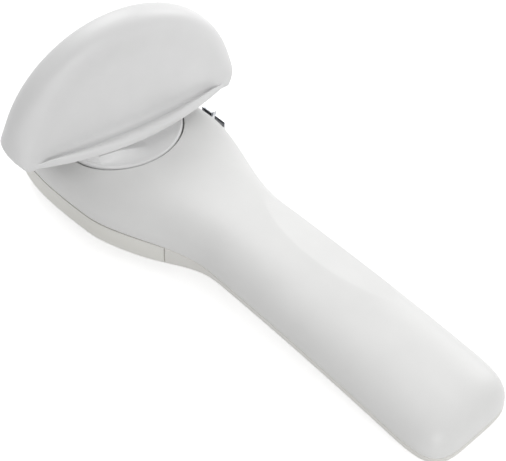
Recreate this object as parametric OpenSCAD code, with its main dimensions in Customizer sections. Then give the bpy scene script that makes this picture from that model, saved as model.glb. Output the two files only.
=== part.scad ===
// Hand can opener with a winged turn key, a squeeze lever on one side and small lid pincers on the other.
// Millimetres. +X runs from the key to the tail of the handle, +Z is up along the key's axis.
// The origin lies on the table, under the middle of the part's length.

/* [Body outline] */
// Key axis to the nose of the head
head_reach = 32; // [30:0.5:36]
// Key axis to the end of the handle
tail_reach = 150; // [140:1:170]
// Half width of the head
head_half = 28; // [27.5:0.5:31]
// Key axis to the widest place of the head
head_mid = 13.5; // [12:0.5:15]
// Length over which the head narrows into the handle
head_run = 44; // [40:0.5:48]
// Half width of the handle at its neck
neck_half = 16.8; // [15.5:0.1:18]
// Key axis to the neck
neck_x = 60; // [55:1:66]
// Half width of the handle at its tail
tail_half = 19; // [17:0.5:21]
// Length of the rounded end of the handle
tail_round = 24; // [20:1:28]
// Squareness of the nose in plan
nose_n = 3; // [2.6:0.1:3.2]
// Squareness of the tail in plan
tail_n = 4.6; // [3.5:0.1:6]

/* [Body height] */
// How far the handle drops from the neck to the tail
droop = 10.5; // [9:0.5:12]
// Key axis to the place where the drop starts
droop_x = 20; // [15:1:25]
// Depth of the lower shell along the handle
handle_depth = 4.6; // [4.2:0.1:5.2]
// Depth of the lower shell under the head
head_depth = 9.4; // [9.1:0.1:9.6]
// Part of the tail's depth that is ground flat to stand on
rest_flat = 1.3; // [1.2:0.1:1.4]
// Crown of the upper shell over the parting line at the head
crown_head = 11.4; // [11.2:0.1:12.5]
// Crown at the neck
crown_neck = 11.8; // [10.5:0.1:13]
// Crown at the tail
crown_tail = 10.8; // [9.5:0.1:12]
// Squareness of the upper shell in section
upper_n = 2.7; // [2.4:0.1:3.2]
// Squareness of the lower shell in section along the handle
lower_n = 4; // [3.5:0.5:5]
// Squareness of the head's underside and the lever in section
head_n = 10; // [8:0.5:12]

/* [Shells] */
// Wall of both shells
wall = 2.2; // [1.8:0.1:2.6]
// Gap at the parting line
seam = 0.1; // [0.05:0.01:0.2]
// Radius of the shallow finger scoop on the far flank
scoop_r = 240; // [200:5:300]
// Key axis to the middle of the scoop
scoop_x = 98; // [92:1:104]
// Height of the scoop's axis line over the parting line, at the far flank
scoop_rise = 5.8; // [5.5:0.1:6.2]
// Slope of the scoop towards the flank, in degrees
scoop_tilt = 22; // [20:1:24]

/* [Turn key] */
// Angle of the wing from the handle's direction, as photographed
key_angle = 77.5; // [60:0.5:120]
// Radius of the key's round foot
disc_r = 20; // [19:0.1:20.2]
// Gap around the foot
disc_gap = 0.55; // [0.4:0.05:0.6]
// Half length of the wing at its lip
wing_half = 40.3; // [38:0.1:42]
// Height of the wing over its lip
wing_h = 41.1; // [39:0.1:43]
// Lip over the parting line
lip_rise = 14.5; // [14.2:0.1:16]
// Half thickness of the lip in the middle
lip_mid = 13.8; // [12.5:0.1:15]
// Half thickness of the lip at its ends
lip_end = 5.9; // [5.4:0.1:6.4]
// How far the ends of the lip are drawn in under the rim
lip_tuck = 3; // [2.5:0.1:3.5]
// Height over which they are drawn in
tuck_h = 5; // [4:0.5:6]
// Height of the lip's edge
lip_h = 0.9; // [0.8:0.1:1.4]
// Height of the sweep from the lip to the face
flare_h = 3.6; // [3:0.1:5]
// Half thickness of the wing over the lip, in the middle
base_mid = 8.7; // [8:0.1:9.4]
// Half thickness of the wing over the lip, at its ends
base_end = 7.5; // [7:0.1:8]
// Half thickness of the wing at its rim
rim_t = 5.4; // [5.2:0.1:6]
// Width of the rounded rim
rim_r = 6.4; // [5.5:0.1:7]
// Width of the rounding at the ends of the lip
end_r = 2; // [1.9:0.1:2.6]
// Depth of the hollow in the wing's faces
dish = 1.1; // [0.8:0.1:1.4]
// Where the hollow is deepest, as a share of the way from the middle to the rim
dish_in = 0.68; // [0.6:0.01:0.72]
// Where the hollow ends, as a share of the way from the middle to the rim
dish_out = 0.92; // [0.88:0.01:0.95]
// Wall of the hollow wing
wing_wall = 1.8; // [1.6:0.1:2]
// How far the pedestal stays inside the lip that it carries
pedestal_in = 0.6; // [0.4:0.1:1]
// Radius of the hub that turns in the upper shell
hub_r = 6.9; // [6.5:0.1:7]

/* [Drive] */
// Radius of the drive shaft
shaft_r = 3; // [2.8:0.05:3.2]
// Radius of the toothed drive wheel
drive_r = 5; // [4.8:0.05:5.2]
// Width of the drive wheel
drive_w = 3; // [2.6:0.1:3.2]
// Teeth of the drive wheel
drive_teeth = 26; // [20:1:32]
// Running gap of shafts and hubs
run_gap = 0.06; // [0.04:0.01:0.09]
// Gap between pieces that are pressed together
press_gap = 0.02; // [0.01:0.01:0.03]
// Axial play between turning pieces
play = 0.2; // [0.15:0.01:0.25]

/* [Cutter] */
// Tooth size of the gear pair
gear_m = 1; // [0.95:0.01:1.02]
// Teeth of the pinion on the shaft
pinion_teeth = 12; // [11:1:12]
// Teeth of the cam gear
cam_teeth = 24; // [23:1:24]
// Face width of the gears
gear_w = 3; // [2.6:0.1:3]
// Throw of the cam that carries the cutter
cam_throw = 3; // [2.8:0.05:3.2]
// Radius of the cam's bearing
cam_r = 8; // [7.6:0.1:8.2]
// Gap left between drive wheel and cutter when closed
rim_gap = 0.8; // [0.6:0.05:1]
// Radius of the cutter's axle
axle_r = 2.5; // [2.3:0.05:2.6]
// Thickness of the cutting wheel
cutter_w = 2.2; // [1.8:0.1:2.3]

/* [Lever and pincers] */
// Key axis to the nose end of the lever
lever_nose = 27; // [26:0.5:28]
// Key axis to the free end of the lever
lever_end = 40.5; // [38:0.5:42]
// Thickness of the lever's blade
lever_t = 3; // [2.6:0.1:3.2]
// Gap behind the lever's blade
lever_gap = 0.8; // [0.7:0.05:0.9]
// Key axis to the lever's pin, towards the nose
pivot_x = 21; // [20.5:0.1:21.5]
// Key axis to the lever's pin, towards the near side
pivot_y = 12.5; // [12:0.1:13]
// Radius of the lever's pin
pivot_r = 1.5; // [1.4:0.05:1.6]
// Swing of the lever, in degrees
lever_swing = 1.4; // [1.2:0.05:1.5]
// Key axis to the push bar
bar_x = 7; // [6.8:0.1:7.2]
// Width of the push bar
bar_w = 2.4; // [2:0.1:2.6]
// Key axis to the pincers' pin, towards the tail
jaw_x = 12.6; // [12.4:0.1:12.8]
// Far side of the head to the pincers' pin
jaw_in = 7.5; // [7:0.1:8]
// Radius of the pincers' pin
jaw_pin_r = 1.2; // [1.1:0.05:1.3]
// How far the pincers stand out of the head
jaw_out = 3.2; // [3.1:0.1:3.6]
// How far the ends of the pincers are turned up
jaw_lift = 1.8; // [1.4:0.1:2]
// Gap between the head and the turned-up ends
jaw_clear = 0.9; // [0.8:0.05:1]
// Width of each pincer
jaw_w = 4.4; // [4:0.1:4.6]
// Opening between the pincers
jaw_gap = 1.5; // [1.3:0.1:1.7]
// Thickness of the pincers
jaw_t = 2.1; // [1.8:0.1:2.2]
// Wire of the lever's spring
wire_d = 0.6; // [0.5:0.05:0.7]
// Turns of the lever's spring
spring_turns = 3; // [2:1:3]

/* [Screws] */
// Shank radius of the shell screws
screw_r = 1.45; // [1.3:0.05:1.5]
// Head radius of the shell screws
screw_head_r = 2.7; // [2.5:0.1:2.9]
// Head height of the shell screws
screw_head_h = 1.8; // [1.6:0.1:2]
// Thread length of the shell screws in the upper shell
screw_bite = 6; // [5:0.5:7]
// Key axis to the screw in the nose
screw_nose = 26; // [25.5:0.1:26.5]
// Key axis to the screw behind the gears
screw_neck = 37.5; // [37:0.5:39]
// Key axis to the screw in the middle of the handle
screw_mid = 84; // [80:1:88]
// Tail end to the screw in the tail
screw_tail = 18; // [17:0.5:20]

/* [Hidden] */
$fn = 48;
key_x = -(tail_reach - head_reach) / 2;

// Heights
part_z = droop + handle_depth - rest_flat;
head_z = part_z - seam / 2 - head_depth;
floor_z = head_z + wall;
crown_z = part_z + crown_head;
recess_z = crown_z - 2.4;
ceil_z = recess_z - 2;
lip_z = part_z + lip_rise;
disc_z = recess_z + 0.3;
gear_z = floor_z + 1.2;
gear_top = gear_z + gear_w;
jaw_z = part_z - 0.2;
jaw_top = jaw_z + jaw_t;
bar_z = jaw_z;
collar_z = gear_top + 0.9;
hub_z = jaw_top + 0.4;
lever_top = part_z - 0.4;
spring_r = pivot_r + wire_d / 2 + 0.3;
spring_z = lever_top + wire_d / 2 + 0.1;
spring_top = spring_z + spring_turns * (wire_d + 0.12) + wire_d / 2 + 0.2;

screw_xs = [-screw_nose, screw_neck, screw_mid, tail_reach - screw_tail];

// Sizes of the mechanism
gear_gap = gear_m * (pinion_teeth + cam_teeth) / 2;
cutter_x = gear_gap - cam_throw;
cutter_r = cutter_x - drive_r - rim_gap;
cutter_z = 1.9;
washer_t = 0.3;
cam_z = cutter_z + cutter_w + washer_t + 0.1;
bush_r = shaft_r + 1.5;
bush_flange_r = bush_r + 1.7;
pivot = [-pivot_x, -pivot_y];
pivot_eye = pivot_r + 1.5;
eye_z = gear_z + 1.6;
jaw_y = head_half - jaw_in;
jaw_pin = [jaw_x, jaw_y];
jaw_eye = jaw_pin_r + 1.3;
jaw_reach = head_half + jaw_out;
jaw_root = head_half + jaw_clear;
jaw_mid = jaw_x + 0.4;
fixed_hold = jaw_x + jaw_eye + 0.5;
jaw_left = jaw_mid - jaw_gap / 2 - jaw_w;
jaw_right = jaw_mid + jaw_gap / 2 + jaw_w;
jaw_span = jaw_right - jaw_left;
bar_tip = bar_x - bar_w / 2;

function ease(t) = let (c = min(max(t, 0), 1)) c * c * (3 - 2 * c);

// Half width of the body in plan, behind and ahead of the widest place
function handle_w(x) = neck_half + (tail_half - neck_half) * (x - neck_x) / (tail_reach - neck_x);
function back_w(x) = handle_w(x) + (head_half - handle_w(x)) * (1 - ease((x - head_mid) / head_run));
function nose_w(x) = head_half * pow(1 - pow((head_mid - x) / (head_reach + head_mid), nose_n), 1 / nose_n);
function body_w(x) = x < head_mid ? nose_w(x) : back_w(x);

// Parting line, crown and depth along the body
function part(x) = part_z - droop * pow(min(max((x - droop_x) / (tail_reach - droop_x), 0), 1), 2);
function crown(x) = crown_head + (crown_neck - crown_head) * ease(x / neck_x)
  + (crown_tail - crown_neck) * min(max((x - neck_x) / (tail_reach - neck_x), 0), 1);
function depth(x) = head_depth + (handle_depth - head_depth) * ease((x - 32) / 30);

// One side of the outline from nose to tail as [x, half width]
tail_x = tail_reach - tail_round;
xs_mid = concat([for (i = [0:5]) head_mid + (lever_end + 0.5 - head_mid) * i / 5],
  [for (i = [0:10]) lever_end + 1.1 + (tail_x - lever_end - 1.1) * i / 10]);
side = concat(
  [for (i = [0:8]) let (b = 10 * i)
    [head_mid - (head_reach + head_mid) * pow(cos(b), 2 / nose_n), head_half * pow(sin(b), 2 / nose_n)]],
  [for (x = xs_mid) [x, back_w(x)]],
  [for (i = [1:8]) let (a = 11.25 * i, x = tail_x + tail_round * pow(sin(a), 2 / tail_n))
    [x, back_w(x) * pow(cos(a), 2 / tail_n)]]);
last = len(side) - 1;

// Room for the lever's blade in the near side of the lower shell, wider where the outline runs aslant
function slant(x) = let (e = max(x, 1 - head_reach))
  min(norm([0.4, body_w(e + 0.2) - body_w(e - 0.2)]) / 0.4, 1.8);
function pocket(x) = x > lever_end + lever_gap ? 0
  : (lever_t + lever_gap + (x + pivot_x) * sin(lever_swing)) * slant(x) * ease((x + head_reach - 1.5) / 3.5);

// Closed outline, counter-clockwise, with the near side drawn in by the pocket where cut is 1
function outline(cut) = concat(
  [for (p = side) [p[0], -max(p[1] - cut * pocket(p[0]), p[1] * 0.3)]],
  [for (i = [last - 1:-1:1]) side[i]]);
function inset(line, d) = let (n = len(line)) [for (i = [0:n - 1])
  let (a = line[(i + n - 1) % n], b = line[(i + 1) % n], t = (b - a) / norm(b - a))
  line[i] + d * [-t[1], t[0]]];

// One level of a dome: the outline drawn towards the spine by c
spine_a = -head_reach + 26;
spine_b = tail_reach - 16;
function level(line, f, na, nb) = [for (p = line)
  let (n = na + (nb - na) * ease((p[0] - 32) / 30), c = pow(cos(f), 2 / n),
    s = min(max(p[0], spine_a), spine_b))
  [s + (p[0] - s) * c, p[1] * c, pow(sin(f), 2 / n)]];
function upper_ring(line, f, t) = [for (p = level(line, f, upper_n, upper_n))
  let (z = part(p[0]) + seam / 2 + (crown(p[0]) - t) * p[2])
  [p[0], p[1], t > 0 ? min(z, ceil_z + max(p[0] - 24, 0) * 0.8) : z]];
function lower_ring(line, f, t) = [for (p = level(line, f, head_n, lower_n))
  let (z = part(p[0]) - seam / 2 - (depth(p[0]) - t) * p[2]) [p[0], p[1], max(z, t)]];

// Triangles of stacked rings; turn is 1 for rings that climb and 0 for rings that go down
function tri(a, b, c, turn) = turn == 1 ? [a, c, b] : [a, b, c];
function bands(n, rows, at, turn) = [for (j = [0:rows - 2], k = [0:n - 1], h = [0, 1])
  let (a = at + j * n + k, b = at + j * n + (k + 1) % n, c = b + n, d = a + n)
  h == 0 ? tri(a, b, c, turn) : tri(a, c, d, turn)];
function lid(n, at, turn) = [for (k = [0:n / 2 - 1], h = [0, 1])
  let (a = at + k, b = at + k + 1, c = at + n - k - 1, d = at + (n - k) % n)
  if ((h == 0 && k < n / 2 - 1) || (h == 1 && k > 0)) h == 0 ? tri(a, b, c, turn) : tri(a, c, d, turn)];
function flat(rows) = [for (r = rows, p = r) p];

// Hollow dome: outer rings, inner rings and the rim between their first rings
module shell(outer, inner, turn) {
  n = len(outer[0]);
  m = len(outer) * n;
  rim = [for (k = [0:n - 1], h = [0, 1])
    let (b = (k + 1) % n, c = m + b) h == 0 ? tri(k, b, c, 1 - turn) : tri(k, c, m + k, 1 - turn)];
  polyhedron(points = concat(flat(outer), flat(inner)),
    faces = concat(bands(n, len(outer), 0, turn), lid(n, m - n, turn), rim,
      bands(n, len(inner), m, 1 - turn), lid(n, m + (len(inner) - 1) * n, 1 - turn)), convexity = 8);
}

// Solid stack of rings
module stack(rings, turn) {
  n = len(rings[0]);
  polyhedron(points = flat(rings), faces = concat(bands(n, len(rings), 0, turn),
    lid(n, (len(rings) - 1) * n, turn), lid(n, 0, 1 - turn)), convexity = 4);
}

upper_steps = [0, 12, 25, 39, 53, 67, 79, 86];
lower_steps = [0, 2, 10, 27, 45, 62, 77, 87];

// Top of the upper shell over its middle line, and the radius of its screw bosses
function end_c(x) = max(spine_a - x, x - spine_b, 0) / (x < 0 ? spine_a + head_reach : tail_reach - spine_b);
function top_z(x) = part(x) + crown(x) * pow(1 - pow(end_c(x), upper_n), 1 / upper_n);
boss_r = screw_r + 1.9;
function boss_top(x) = min(top_z(x - boss_r), top_z(x + boss_r)) - 0.8;

// Level of the seat that a shell screw's head bears on
function seat(x) = part(x) - depth(x) + screw_head_h + 0.8;

// Gear with involute flanks as a flat outline, one tooth on the +X axis
gear_add = 0.75;
gear_ded = 1.05;
gear_slack = 0.16;
function inv(a) = tan(a) * 180 / PI - a;
module gear_face(teeth) {
  press = 25;
  rp = gear_m * teeth / 2;
  rb = rp * cos(press);
  ra = rp + gear_add * gear_m;
  rr = rp - gear_ded * gear_m;
  half = 90 / teeth - gear_slack / rp * 90 / PI + inv(press);
  rads = [for (i = [0:4]) max(rb, rr) + (ra - max(rb, rr)) * i / 4];
  angs = [for (r = rads) half - inv(acos(min(rb / r, 1)))];
  polygon([for (k = [0:teeth - 1]) let (c = 360 * k / teeth) each concat(
    [rr * [cos(c - angs[0] - 1), sin(c - angs[0] - 1)]],
    [for (i = [0:4]) rads[i] * [cos(c - angs[i]), sin(c - angs[i])]],
    [for (i = [4:-1:0]) rads[i] * [cos(c + angs[i]), sin(c + angs[i])]],
    [rr * [cos(c + angs[0] + 1), sin(c + angs[0] + 1)]])]);
}

// Upper shell: head, handle sides and top in one moulding, with the recess of the key
module upper_shell() color("White") translate([key_x, 0, 0]) difference() {
  union() {
    shell([for (f = upper_steps) upper_ring(outline(0), f, 0)],
      [for (f = upper_steps) upper_ring(inset(outline(0), wall), f, wall)], 1);
    for (x = screw_xs)
      translate([x, 0, part(x) + seam]) cylinder(r = boss_r, h = boss_top(x) - part(x));
    translate([gear_gap, 0, gear_top + play]) cylinder(r = 4, h = ceil_z + 1 - gear_top - play);
    translate([pivot[0], pivot[1], spring_top]) cylinder(r = pivot_eye, h = ceil_z + 0.4 - spring_top);
    translate([jaw_x, jaw_y, jaw_top + play]) cylinder(r = jaw_eye, h = ceil_z + 0.2 - jaw_top - play);
  }
  translate([0, 0, recess_z]) cylinder(r = disc_r + disc_gap, h = 20, $fn = 96);
  translate([0, 0, ceil_z - 1]) cylinder(r = hub_r + run_gap, h = 10);
  for (x = screw_xs)
    translate([x, 0, part(x) - 1]) cylinder(r = screw_r + press_gap, h = screw_bite + 1.5);
  translate([pivot[0], pivot[1], spring_top - 1]) cylinder(r = pivot_r + press_gap, h = 3.2);
  translate([jaw_x, jaw_y, jaw_z]) cylinder(r = jaw_pin_r + press_gap, h = jaw_t + play + 2.2);
  translate([jaw_left - 0.6, jaw_y - 3, part_z - 1]) cube([jaw_span + 1.2, 30, jaw_top + 0.3 - part_z + 1]);
  translate([scoop_x, tail_half, part(scoop_x) + scoop_rise]) rotate([-scoop_tilt, 0, 0])
    translate([0, 0, scoop_r]) rotate([90, 0, 0]) cylinder(r = scoop_r, h = 80, center = true, $fn = 360);
}

// Lower shell: shallow cover of the handle and floor of the head, with the bearings of the drive
module lower_shell() color("White") translate([key_x, 0, 0]) difference() {
  union() {
    shell([for (f = lower_steps) lower_ring(outline(1), f, 0)],
      [for (f = lower_steps) lower_ring(inset(outline(1), wall), f, wall)], 0);
    for (x = screw_xs)
      translate([x, 0, part(x) - depth(x) + 0.5])
        cylinder(r = screw_head_r + 1.2, h = depth(x) - 0.5 - seam / 2);
    translate([0, 0, head_z + 0.5]) cylinder(r = bush_r + 2, h = gear_z - play - head_z - 0.5);
    translate([gear_gap, 0, head_z + 0.5]) cylinder(r = cam_r + 2.2, h = gear_z - play - head_z - 0.5);
    translate([pivot[0], pivot[1], head_z + 0.5]) cylinder(r = pivot_eye, h = eye_z - 2.1 - head_z - 0.5);
    translate([jaw_x, jaw_y, head_z + 0.6]) cylinder(r = jaw_eye, h = jaw_z - play - head_z - 0.6);
    translate([fixed_hold, jaw_y - 4, head_z + 0.6]) cube([3, 8, jaw_z - head_z - 0.6]);
    for (y = [jaw_y - 2.3, jaw_y + 2.3])
      translate([fixed_hold + 1.5, y, jaw_z - 1]) cylinder(r = 0.85, h = jaw_t + 0.6, $fn = 32);
    for (y = [-17, 13])
      translate([bar_tip - 1.5, y, head_z + 0.6]) cube([bar_w + 3, 2, bar_z + 1.4 - head_z - 0.6]);
  }
  for (x = screw_xs) {
    translate([x, 0, -5]) cylinder(r = screw_r + 0.15, h = 30);
    translate([x, 0, -5]) cylinder(r = screw_head_r + 0.25, h = seat(x) + 5);
  }
  translate([0, 0, -1]) cylinder(r = bush_r + press_gap, h = 30);
  translate([gear_gap, 0, -1]) cylinder(r = cam_r + run_gap, h = 30);
  translate([pivot[0], pivot[1], head_z + 1]) cylinder(r = pivot_r + press_gap, h = 20);
  translate([jaw_x, jaw_y, head_z + 2]) cylinder(r = jaw_pin_r + press_gap, h = 20);
  translate([bar_tip - 0.1, -40, bar_z - 3.6]) cube([bar_w + 0.2, 30, 20]);
  translate([bar_tip - 0.1, 5, bar_z - 0.1]) cube([bar_w + 0.2, 12, 20]);
  translate([-pivot_x - 4.6, -40, eye_z - 2]) cube([10.8, 40 - pivot_y + pivot_eye + 0.6, 20]);
  translate([jaw_left - 0.6, jaw_y + 4.2, jaw_z - 0.3]) cube([jaw_span + 1.2, 20, 20]);
}

// Pan-head screws that hold the shells together from below
module shell_screws() color("Silver") for (x = screw_xs) translate([key_x + x, 0, seat(x) - screw_head_h])
  difference() {
    tip = part(x) + screw_bite - seat(x) + screw_head_h;
    rotate_extrude() polygon([[0, 0], [screw_head_r - 0.6, 0], [screw_head_r, 0.7],
      [screw_head_r, screw_head_h], [screw_r, screw_head_h], [screw_r, tip - 0.8], [screw_r - 0.7, tip],
      [0, tip]]);
    for (a = [0, 90])
      rotate([0, 0, a]) translate([-1.5, -0.3, -1]) cube([3, 0.6, 1.9]);
  }

// Half thickness of the wing at u along it and v above its lip, for a wall taken off
function bow(mid, end, u) = end + (mid - end) * (1 - pow(min(abs(u) / wing_half, 1), 2));
function flare(v) = pow(min(max(1 - (v - lip_h) / flare_h, 0), 1), 3);
function wing_t(u, v, t) = let (a = wing_half - t, b = wing_h - t, q = min(norm([u / a, v / b]), 1),
    rise = min(v / b / sqrt(max(1 - u * u / a / a, 0.000001)), 1),
    face = rim_t + (bow(base_mid, base_end, u) - rim_t) * (1 - rise)
      - dish * (1 - ease((q - dish_in) / (dish_out - dish_in))),
    lip = t > 0 ? 0 : max(bow(lip_mid, lip_end, u) - face, 0) * flare(v),
    r = max(end_r + (rim_r - end_r) * min(v / 12, 1) - t, 0.4),
    s = max(1 - (1 - q) * a / r, 0))
  (face + lip - t) * pow(max(1 - pow(s, 2.6), 0), 1 / 2.6);
wing_pts = 44;
sweep_h = lip_h + flare_h;
wing_rows = concat([0], [for (i = [0:5]) lip_h + flare_h * pow(i / 5, 1.5)],
  [for (i = [1:10]) sweep_h + (wing_h - sweep_h) * sin(8.4 * i)]);
function wing_ring(h, t) = let (g = h / wing_h, v = g * (wing_h - t), w = (wing_half - t) * sqrt(1 - g * g),
    in = 1 - lip_tuck * pow(max(1 - v / tuck_h, 0), 1.6) / wing_half)
  [for (k = [0:wing_pts - 1]) let (c = -cos(360 * k / wing_pts), u = w * c, e = wing_t(u, v, t))
    [u * in, k == 0 || k == wing_pts / 2 ? 0 : k < wing_pts / 2 ? -e : e, lip_z + v]];

// Wing of the key: hollow half-round moulding, open below, with a broad lip and dished faces
module key_wing() color("White") translate([key_x, 0, 0]) rotate([0, 0, key_angle])
  shell([for (h = wing_rows) wing_ring(h, 0)], [for (h = wing_rows) wing_ring(h, wing_wall)], 1);

// Round foot of the key with its pedestal, hub and the tongue that holds the wing
tongue_half = 16;
tongue_h = 14;
tongue_t = wing_t(tongue_half, tongue_h, wing_wall) - 0.1;
module key_disc() color("White") translate([key_x, 0, 0]) rotate([0, 0, key_angle]) difference() {
  union() {
    rotate_extrude($fn = 96) polygon([[0, hub_z], [hub_r, hub_z], [hub_r, disc_z], [disc_r, disc_z],
      [disc_r, crown_z - 0.4], [disc_r - 0.5, crown_z + 0.1], [0, crown_z + 0.6]]);
    intersection() {
      translate([0, 0, crown_z - 1]) linear_extrude(lip_z - seam / 2 - crown_z + 1)
        polygon([for (side = [-1, 1], u = [-20:2:20]) side * [-u, bow(lip_mid, lip_end, u) - pedestal_in]]);
      translate([0, 0, crown_z - 2]) cylinder(r = disc_r - 0.8, h = lip_z - crown_z + 4, $fn = 96);
    }
    translate([-tongue_half, -tongue_t, lip_z - 1]) cube([2 * tongue_half, 2 * tongue_t, tongue_h + 1]);
  }
  translate([0, 0, hub_z - 1]) cylinder(r = shaft_r + press_gap, h = lip_z - 1.5 - hub_z, $fn = 6);
}

// Thrust washer under the foot
module key_washer() color("Gainsboro") translate([key_x, 0, recess_z + 0.03]) difference() {
  cylinder(r = disc_r - 5, h = 0.24);
  translate([0, 0, -1]) cylinder(r = hub_r + 0.5, h = 3);
}

// Drive shaft: round below, with a collar for the clutch and a hexagon in the key's hub
module drive_shaft() color("Silver") translate([key_x, 0, 0]) union() {
  rotate_extrude() polygon([[0, 0], [shaft_r, 0], [shaft_r, collar_z], [shaft_r + 1.6, collar_z],
    [shaft_r + 1.6, hub_z - 0.05], [0, hub_z - 0.05]]);
  translate([0, 0, hub_z - 1]) rotate([0, 0, key_angle])
    cylinder(r = shaft_r, h = lip_z - 2.2 - hub_z, $fn = 6);
}

// Toothed wheel that grips the rim of the can
module drive_wheel() color("Silver") translate([key_x, 0, 0]) difference() {
  s = 180 / drive_teeth;
  linear_extrude(drive_w) polygon([for (k = [0:drive_teeth - 1]) let (c = 2 * s * k)
    each [drive_r * [cos(c - s / 4), sin(c - s / 4)], drive_r * [cos(c + s / 4), sin(c + s / 4)],
      (drive_r - 0.55) * [cos(c + s), sin(c + s)]]]);
  translate([0, 0, -1]) cylinder(r = shaft_r + press_gap, h = drive_w + 2);
}

// Flanged bush of the shaft in the lower shell
module shaft_bush() color("Goldenrod") translate([key_x, 0, 0]) rotate_extrude() polygon([
  [shaft_r + run_gap, head_z - 0.9], [bush_flange_r, head_z - 0.9], [bush_flange_r, head_z - 0.02],
  [bush_r, head_z - 0.02], [bush_r, gear_z - play], [shaft_r + run_gap, gear_z - play]]);

// Pinion that the shaft drags round through the clutch
module pinion_gear() color("Ivory") translate([key_x, 0, gear_z]) difference() {
  linear_extrude(gear_w) rotate([0, 0, 180 / pinion_teeth]) gear_face(pinion_teeth);
  translate([0, 0, -1]) cylinder(r = shaft_r + run_gap, h = gear_w + 2);
}

// Conical spring washer that presses the pinion, the slipping clutch of the cutter
module clutch_spring() color("DimGray") translate([key_x, 0, gear_top]) rotate_extrude() polygon([
  [shaft_r + 0.3, 0.45], [shaft_r + 2.4, 0.12], [shaft_r + 2.4, 0.48], [shaft_r + 0.3, 0.81]]);

// Cam gear: its bearing carries the cutter's axle off centre
module cam_gear() color("Ivory") translate([key_x + gear_gap, 0, 0]) difference() {
  union() {
    translate([0, 0, gear_z]) linear_extrude(gear_w) rotate([0, 0, 180]) gear_face(cam_teeth);
    translate([0, 0, cam_z]) cylinder(r = cam_r, h = gear_z - cam_z + 1);
  }
  translate([-cam_throw, 0, cam_z - 1]) cylinder(r = axle_r - 0.5 + press_gap, h = 30);
}

// Shouldered axle of the cutter, pressed into the cam
module cutter_axle() color("Silver") translate([key_x + cutter_x, 0, 0]) rotate_extrude() polygon([
  [0, cutter_z - 1.7], [axle_r + 1.1, cutter_z - 1.7], [axle_r + 1.7, cutter_z - 1.2],
  [axle_r + 1.7, cutter_z - 0.1], [axle_r, cutter_z - 0.1], [axle_r, cam_z - 0.05],
  [axle_r - 0.5, cam_z - 0.05], [axle_r - 0.5, gear_top], [0, gear_top]]);

// Cutting wheel with a bevelled edge
module cutting_wheel() color("Silver") translate([key_x + cutter_x, 0, cutter_z])
  rotate_extrude($fn = 96) polygon([[axle_r + run_gap, 0], [cutter_r - 2.6, 0],
    [cutter_r, cutter_w / 2 - 0.1], [cutter_r, cutter_w / 2 + 0.1], [cutter_r - 2.6, cutter_w],
    [axle_r + run_gap, cutter_w]]);

// Washer between cutting wheel and cam
module cutter_washer() color("Gainsboro") translate([key_x + cutter_x, 0, cutter_z + cutter_w + 0.05])
  difference() {
    cylinder(r = axle_r + 2.2, h = washer_t);
    translate([0, 0, -1]) cylinder(r = axle_r + 0.1, h = 3);
  }

// Point of the near outline, drawn in by d along its normal
function near(x) = [x, -body_w(x)];
function near_in(x, d) = let (t = near(x + 0.2) - near(x - 0.2)) near(x) + d / norm(t) * [-t[1], t[0]];

// Squeeze lever: a blade that continues the head's near flank, on an arm with a pivot eye
module side_lever() color("White") translate([key_x, 0, 0]) {
  xs = [for (i = [0:20]) -lever_nose + (lever_end + lever_nose) * i / 20];
  difference() {
    union() {
      intersection() {
        stack([for (f = lower_steps) lower_ring(outline(0), f, 0)], 0);
        translate([0, 0, head_z - 2]) linear_extrude(lever_top - head_z + 2) polygon(concat(
          [for (x = xs) near_in(x, -3)], [for (i = [20:-1:0]) near_in(xs[i], lever_t)]));
      }
      translate([0, 0, eye_z]) linear_extrude(lever_top - 0.1 - eye_z) polygon([
        near_in(-pivot_x - 3.4, lever_t - 1.2), near_in(-pivot_x + 4.4, lever_t - 1.2),
        [pivot[0] + pivot_eye * 0.8, pivot[1]], [pivot[0] - pivot_eye * 0.8, pivot[1]]]);
      translate([pivot[0], pivot[1], eye_z]) cylinder(r = pivot_eye, h = lever_top - 0.1 - eye_z);
    }
    translate([pivot[0], pivot[1], 0]) cylinder(r = pivot_r + run_gap, h = 40);
  }
}

// Pin of the lever, held in both shells
module lever_pin() color("Silver") translate([key_x + pivot[0], pivot[1], head_z + 1.1])
  cylinder(r = pivot_r, h = spring_top + 2 - head_z - 1.1);

// Torsion spring of the lever around its pin, with a leg towards the blade and a leg towards the floor
coil_n = 16;
leg = 6;
function coil(a) = [spring_r * cos(a), spring_r * sin(a), spring_z + a / 360 * (wire_d + 0.12)];
function coil_ring(a) = [for (k = [0:7]) let (b = 45 * k, e = wire_d / 2)
  coil(a) + [e * cos(b) * cos(a), e * cos(b) * sin(a), e * sin(b)]];
module return_spring() color("DimGray") translate([key_x + pivot[0], pivot[1], 0]) {
  coils = [for (i = [0:spring_turns * coil_n]) coil_ring(360 * i / coil_n)];
  far_leg = [for (p = coils[len(coils) - 1]) p + [0, leg, 0]];
  rings = concat([[for (p = coils[0]) p - [0, leg, 0]]], coils, [far_leg]);
  end = (len(rings) - 1) * 8;
  polyhedron(points = flat(rings), faces = concat(bands(8, len(rings), 0, 0),
    [for (k = [1:6]) [0, k + 1, k]], [for (k = [1:6]) [end, end + k, end + k + 1]]), convexity = 8);
}

// Push bar from the lever across the head to the moving pincer, with a foot behind the lever's blade
bar_near = -near_in(bar_x, lever_t)[1] - 0.25;
bar_far = jaw_y - 1.5 - 0.3;
module push_bar() color("Ivory") translate([key_x + bar_x - bar_w / 2, 0, 0]) union() {
  translate([0, -bar_near, bar_z]) cube([bar_w, bar_near + bar_far, jaw_t]);
  translate([0, -bar_near, bar_z - 3.4]) cube([bar_w, 4.5, 3.5]);
}

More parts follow.
